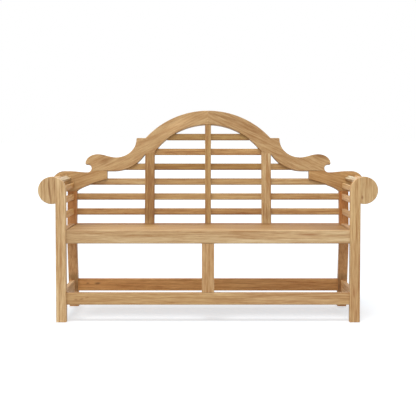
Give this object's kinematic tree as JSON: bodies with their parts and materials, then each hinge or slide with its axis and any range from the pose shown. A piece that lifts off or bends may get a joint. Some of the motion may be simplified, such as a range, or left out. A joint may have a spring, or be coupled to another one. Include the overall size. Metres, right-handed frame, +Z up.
{
  "type": "two-seater garden bench",
  "caption": "Teak garden bench with an arched, hooked crest over a raked slatted back, rolled slatted arms with disc ends and a slatted seat.",
  "frame": {"origin": "on the ground, below the middle of the bounding box", "axes": "+X along the bench to the right of someone facing it, +Y to the back, +Z up"},
  "size_m": [1.65, 0.6, 1.044],
  "materials": {
    "teak_light": "sanded, unvarnished teak, the lighter boards",
    "teak_mid": "sanded, unvarnished teak",
    "teak_dark": "sanded, unvarnished teak, the darker boards"
  },
  "bodies": {
    "root": {"front_leg_left": "teak_light", "front_leg_right": "teak_light", "front_centre_leg": "teak_light", "seat_front_rail": "teak_light", "back_muntin": "teak_light", "seat_slat_1": "teak_light", "seat_slat_2": "teak_light", "seat_slat_3": "teak_light", "seat_slat_4": "teak_light", "seat_slat_5": "teak_light", "arm_scroll_left": "teak_mid", "arm_scroll_right": "teak_mid", "crest_arch_left": "teak_mid", "crest_arch_right": "teak_mid", "crest_wing_left": "teak_mid", "crest_wing_right": "teak_mid", "back_stile_left": "teak_mid", "back_stile_right": "teak_mid", "seat_back_rail": "teak_mid", "seat_side_rail_left": "teak_mid", "seat_side_rail_right": "teak_mid", "front_stretcher": "teak_mid", "crown_tongue": "teak_mid", "wing_tongue_left": "teak_mid", "wing_tongue_right": "teak_mid", "arm_slat_left_1": "teak_mid", "arm_slat_left_2": "teak_mid", "arm_slat_left_3": "teak_mid", "arm_slat_left_4": "teak_mid", "arm_slat_left_5": "teak_mid", "arm_slat_left_6": "teak_mid", "arm_slat_right_1": "teak_mid", "arm_slat_right_2": "teak_mid", "arm_slat_right_3": "teak_mid", "arm_slat_right_4": "teak_mid", "arm_slat_right_5": "teak_mid", "arm_slat_right_6": "teak_mid", "back_leg_left": "teak_dark", "back_leg_right": "teak_dark", "back_stretcher": "teak_dark", "side_stretcher_left": "teak_dark", "side_stretcher_right": "teak_dark", "seat_bearer_left": "teak_dark", "seat_bearer_centre": "teak_dark", "seat_bearer_right": "teak_dark", "back_slat_centre_1": "teak_dark", "back_slat_centre_2": "teak_dark", "back_slat_centre_3": "teak_dark", "back_slat_centre_4": "teak_dark", "back_slat_centre_5": "teak_dark", "back_slat_centre_6": "teak_dark", "back_slat_left_3": "teak_dark", "back_slat_left_4": "teak_dark", "back_slat_left_5": "teak_dark", "back_slat_left_6": "teak_dark", "back_slat_right_3": "teak_dark", "back_slat_right_4": "teak_dark", "back_slat_right_5": "teak_dark", "back_slat_right_6": "teak_dark"}
  },
  "joints": []
}
